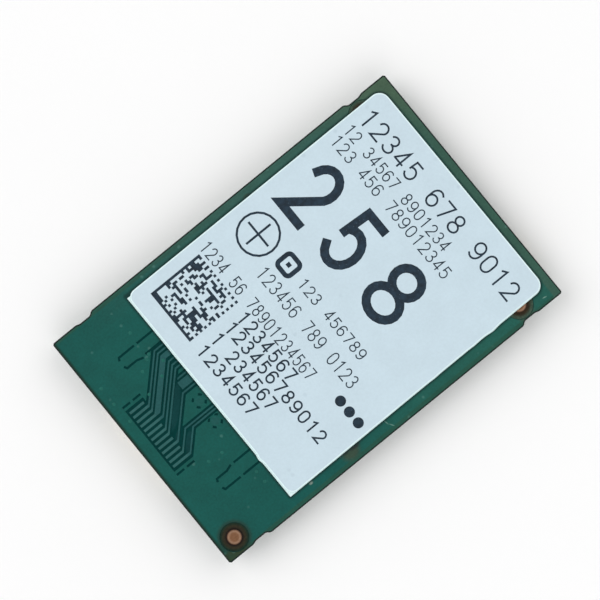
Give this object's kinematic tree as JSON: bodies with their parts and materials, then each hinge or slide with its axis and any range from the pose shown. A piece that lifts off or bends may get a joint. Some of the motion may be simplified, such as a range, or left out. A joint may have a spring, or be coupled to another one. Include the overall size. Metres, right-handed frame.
{
  "type": "wifi card",
  "caption": "Thin rectangular wireless network card: labelled board, copper comb, shield can, board-to-board socket and antenna receptacle on its underside.",
  "frame": {"origin": "middle of the card, at the outer face of the shield lid that it rests on", "axes": "+X along the card from its bare end to its labelled end, +Y across it, +Z out of the label"},
  "size_m": [0.03, 0.02, 0.0024],
  "materials": {
    "solder_mask": "green solder mask over copper, satin",
    "clear_film": "clear film over an adhesive",
    "label_stock": "printed white polyester, satin",
    "tinned_sheet": "tinned steel sheet, soft sheen",
    "gold_plate": "gold flash over copper alloy",
    "socket_moulding": "beige high-temperature moulding",
    "chip_moulding": "black epoxy moulding",
    "ceramic_body": "fired ceramic",
    "ferrite": "moulded ferrite"
  },
  "bodies": {
    "root": {"band_filter": "ceramic_body", "capacitor_1": "ceramic_body", "capacitor_2": "ceramic_body", "capacitor_3": "ceramic_body", "capacitor_4": "ceramic_body", "capacitor_5": "ceramic_body", "circuit_board": "solder_mask", "connector_housing": "socket_moulding", "connector_nail_lower": "gold_plate", "connector_nail_upper": "gold_plate", "contact_inner_01": "gold_plate", "contact_inner_02": "gold_plate", "contact_inner_03": "gold_plate", "contact_inner_04": "gold_plate", "contact_inner_05": "gold_plate", "contact_inner_06": "gold_plate", "contact_inner_07": "gold_plate", "contact_inner_08": "gold_plate", "contact_inner_09": "gold_plate", "contact_inner_10": "gold_plate", "contact_inner_11": "gold_plate", "contact_inner_12": "gold_plate", "contact_inner_13": "gold_plate", "contact_inner_14": "gold_plate", "contact_inner_15": "gold_plate", "contact_outer_01": "gold_plate", "contact_outer_02": "gold_plate", "contact_outer_03": "gold_plate", "contact_outer_04": "gold_plate", "contact_outer_05": "gold_plate", "contact_outer_06": "gold_plate", "contact_outer_07": "gold_plate", "contact_outer_08": "gold_plate", "contact_outer_09": "gold_plate", "contact_outer_10": "gold_plate", "contact_outer_11": "gold_plate", "contact_outer_12": "gold_plate", "contact_outer_13": "gold_plate", "contact_outer_14": "gold_plate", "contact_outer_15": "gold_plate", "crystal_base": "ceramic_body", "crystal_lid": "tinned_sheet", "front_end_chip": "chip_moulding", "inductor_lower": "ferrite", "inductor_upper": "ferrite", "label": "label_stock", "label_film": "clear_film", "memory_chip": "chip_moulding", "receptacle_base": "socket_moulding", "receptacle_pin": "gold_plate", "receptacle_shell": "gold_plate", "resistor_1": "chip_moulding", "resistor_2": "chip_moulding", "shield_frame": "tinned_sheet", "shield_lid": "tinned_sheet", "wireless_chip": "chip_moulding"}
  },
  "joints": []
}
